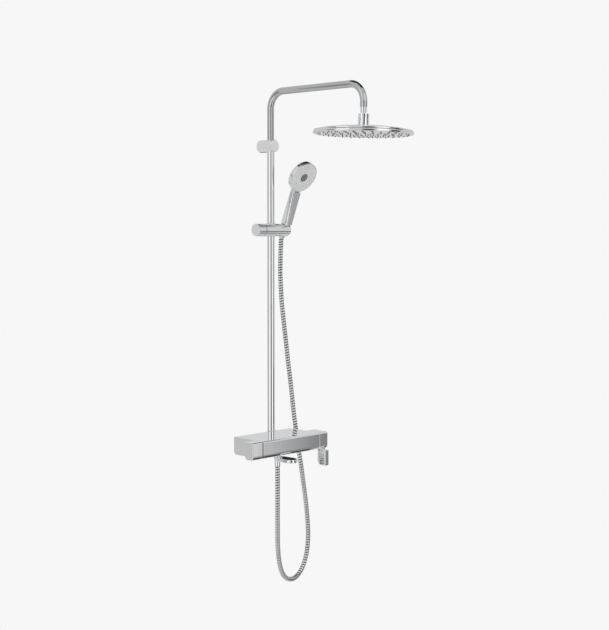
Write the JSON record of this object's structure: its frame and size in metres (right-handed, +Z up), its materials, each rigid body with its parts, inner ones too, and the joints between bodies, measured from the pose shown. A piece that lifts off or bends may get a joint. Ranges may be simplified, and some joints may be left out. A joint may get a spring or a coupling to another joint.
{
  "type": "rainfall shower column",
  "caption": "Wall-mounted rainfall shower column with a shelf mixer, bath spout, sliding hand shower on a hose, and a tilting round rain head.",
  "frame": {"origin": "on the finished wall, midway between the hot and cold inlets", "axes": "+X to the right as the user faces the wall, +Y into the wall, +Z up; the rain head reaches along -Y"},
  "size_m": [0.3655, 0.5924, 1.5965],
  "materials": {
    "chrome": "polished chrome plate",
    "plated_plastic": "chrome plated plastic",
    "faceplate": "polished steel",
    "brass": "machined",
    "steel": "zinc plated",
    "satin_grey": "satin",
    "button_grey": "satin",
    "bearing_plastic": "moulded",
    "rubber": "matt",
    "silicone": "matt",
    "hose_steel": "interlocked polished strip"
  },
  "bodies": {
    "root": {"shelf_plate": "chrome", "mixer_cover": "chrome", "left_end_plate": "chrome", "right_end_plate": "chrome", "mixer_casting": "brass", "hot_inlet_tail": "brass", "cold_inlet_tail": "brass", "hot_union_nut": "chrome", "cold_union_nut": "chrome", "inlet_filters": "rubber", "diverter_cartridge": "bearing_plastic", "mixing_cartridge": "bearing_plastic", "cartridge_nut": "brass", "spout_collar": "chrome", "hose_outlet": "chrome", "outlet_washer": "rubber", "outlet_nut": "chrome", "riser_seal": "rubber", "lower_riser": "chrome", "bracket_base": "steel", "wall_bracket": "chrome", "bracket_grub_screw": "steel", "shower_hose": "hose_steel"},
    "diverter": {"diverter_spindle": "brass", "diverter_knob": "chrome"},
    "temperature_hub": {"mixing_stem": "brass", "lever_hub": "chrome", "lever_pin": "steel"},
    "lever": {"lever": "chrome"},
    "spout": {"spout": "chrome", "spout_seal": "rubber", "aerator": "bearing_plastic"},
    "arm_guide": {"arm_bush": "bearing_plastic"},
    "arm": {"upper_arm": "chrome", "arm_ferrule": "chrome", "ball_joint": "chrome"},
    "ball_ring": {"ball_seat": "bearing_plastic"},
    "rain_head": {"ball_nut": "chrome", "head_socket": "chrome", "head_shell": "plated_plastic", "head_faceplate": "faceplate", "head_nozzles": "silicone"},
    "slider_sleeve": {"slider_bush": "bearing_plastic"},
    "slider": {"slider_body": "plated_plastic", "cup_pin": "steel"},
    "clamp": {"clamp_knob": "plated_plastic", "clamp_screw": "brass"},
    "brake": {"brake_pad": "bearing_plastic"},
    "holder_cup": {"handset_cup": "plated_plastic"},
    "hose_nut": {"hose_cone_nut": "plated_plastic", "cone_washer": "rubber"},
    "hand_shower": {"handset_shell": "plated_plastic", "handset_faceplate": "satin_grey", "handset_nozzles": "silicone", "handle_insert": "satin_grey"},
    "spray_button": {"handset_button": "button_grey"}
  },
  "joints": [
    {"name": "diverter_turn", "type": "hinge", "parent": "root", "child": "diverter", "pos_m": [-0.124, -0.1645, 0], "axis": [1, 0, 0], "range_deg": [-45, 45]},
    {"name": "temperature_turn", "type": "hinge", "parent": "root", "child": "temperature_hub", "pos_m": [0.124, -0.153, 0], "axis": [1, 0, 0], "range_deg": [-45, 45]},
    {"name": "lever_lift", "type": "hinge", "parent": "temperature_hub", "child": "lever", "pos_m": [0.152, -0.16, -0.012], "axis": [0, -1, 0], "range_deg": [0, 18]},
    {"name": "spout_swivel", "type": "hinge", "parent": "root", "child": "spout", "pos_m": [0, -0.137, -0.0275], "axis": [0, 0, 1], "range_deg": [-60, 60]},
    {"name": "arm_height", "type": "slide", "parent": "root", "child": "arm_guide", "axis": [0, 0, 1], "range_m": [-0.08, 0.08]},
    {"name": "arm_swivel", "type": "hinge", "parent": "arm_guide", "child": "arm", "pos_m": [0.0415, -0.0465, 0.8], "axis": [0, 0, 1], "range_deg": [-45, 45]},
    {"name": "head_tilt_fore_aft", "type": "hinge", "parent": "arm", "child": "ball_ring", "pos_m": [0.0415, -0.443, 1.001], "axis": [1, 0, 0], "range_deg": [-8, 8]},
    {"name": "head_tilt_sideways", "type": "hinge", "parent": "ball_ring", "child": "rain_head", "pos_m": [0.0415, -0.443, 1.001], "axis": [0, 1, 0], "range_deg": [-8, 8]},
    {"name": "slider_height", "type": "slide", "parent": "root", "child": "slider_sleeve", "axis": [0, 0, 1], "range_m": [-0.4, 0.16], "deforming": ["shower_hose"]},
    {"name": "slider_swivel", "type": "hinge", "parent": "slider_sleeve", "child": "slider", "pos_m": [0.0415, -0.0465, 0.675], "axis": [0, 0, 1], "range_deg": [-60, 60]},
    {"name": "clamp_knob_turn", "type": "hinge", "parent": "slider", "child": "clamp", "pos_m": [0.0065, -0.0465, 0.675], "axis": [1, 0, 0], "range_deg": [0, 270]},
    {"name": "brake_press", "type": "slide", "parent": "slider", "child": "brake", "axis": [1, 0, 0], "range_m": [0, 0.0013]},
    {"name": "cup_tilt", "type": "hinge", "parent": "slider", "child": "holder_cup", "pos_m": [0.0755, -0.0465, 0.675], "axis": [1, 0, 0], "range_deg": [-15, 20]},
    {"name": "handset_lift", "type": "slide", "parent": "holder_cup", "child": "hose_nut", "axis": [0, -0.3584, 0.9336], "range_m": [0, 0.06]},
    {"name": "handset_twist", "type": "hinge", "parent": "hose_nut", "child": "hand_shower", "pos_m": [0.0985, -0.0465, 0.675], "axis": [0, -0.3584, 0.9336], "range_deg": [-90, 90]},
    {"name": "button_press", "type": "slide", "parent": "hand_shower", "child": "spray_button", "axis": [0, 0.8526, 0.5225], "range_m": [0, 0.0015]}
  ],
  "couplings": [
    {"joint": "brake_press", "follows": "clamp_knob_turn", "m_per_rad": 0.00025465}
  ]
}
